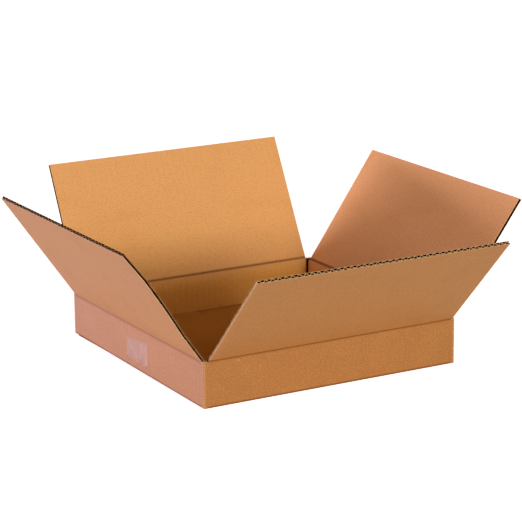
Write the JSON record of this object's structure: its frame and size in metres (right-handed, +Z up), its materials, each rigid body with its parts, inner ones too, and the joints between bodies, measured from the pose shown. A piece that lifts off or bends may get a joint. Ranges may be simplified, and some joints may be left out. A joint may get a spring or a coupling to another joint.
{
  "type": "shallow cardboard box",
  "caption": "Shallow square corrugated box with a taped bottom and four hinged top flaps standing open.",
  "frame": {"origin": "middle of the base, on the surface that the box stands on", "axes": "+Z up; X along the taped bottom seam, from left wall to right wall; +Y from the front wall to the back wall"},
  "size_m": [0.4914, 0.4951, 0.1877],
  "materials": {
    "kraft_board": "matte",
    "fluted_board": "matte",
    "clear_tape": "gloss"
  },
  "bodies": {
    "carton": {"carton_body": "kraft_board", "sealing_tape": "clear_tape"},
    "front_flap": {"front_flap": "fluted_board"},
    "back_flap": {"back_flap": "fluted_board"},
    "left_flap": {"left_flap": "fluted_board"},
    "right_flap": {"right_flap": "fluted_board"}
  },
  "joints": [
    {"name": "front_flap_crease", "type": "hinge", "parent": "carton", "child": "front_flap", "pos_m": [0, -0.1546, 0.053], "axis": [1, 0, 0], "range_deg": [-134.8, 60.2]},
    {"name": "back_flap_crease", "type": "hinge", "parent": "carton", "child": "back_flap", "pos_m": [0, 0.1546, 0.053], "axis": [-1, 0, 0], "range_deg": [-119, 76]},
    {"name": "left_flap_crease", "type": "hinge", "parent": "carton", "child": "left_flap", "pos_m": [-0.1546, 0, 0.05], "axis": [0, -1, 0], "range_deg": [-125.2, 69.8]},
    {"name": "right_flap_crease", "type": "hinge", "parent": "carton", "child": "right_flap", "pos_m": [0.1546, 0, 0.05], "axis": [0, 1, 0], "range_deg": [-126.7, 68.3]}
  ]
}
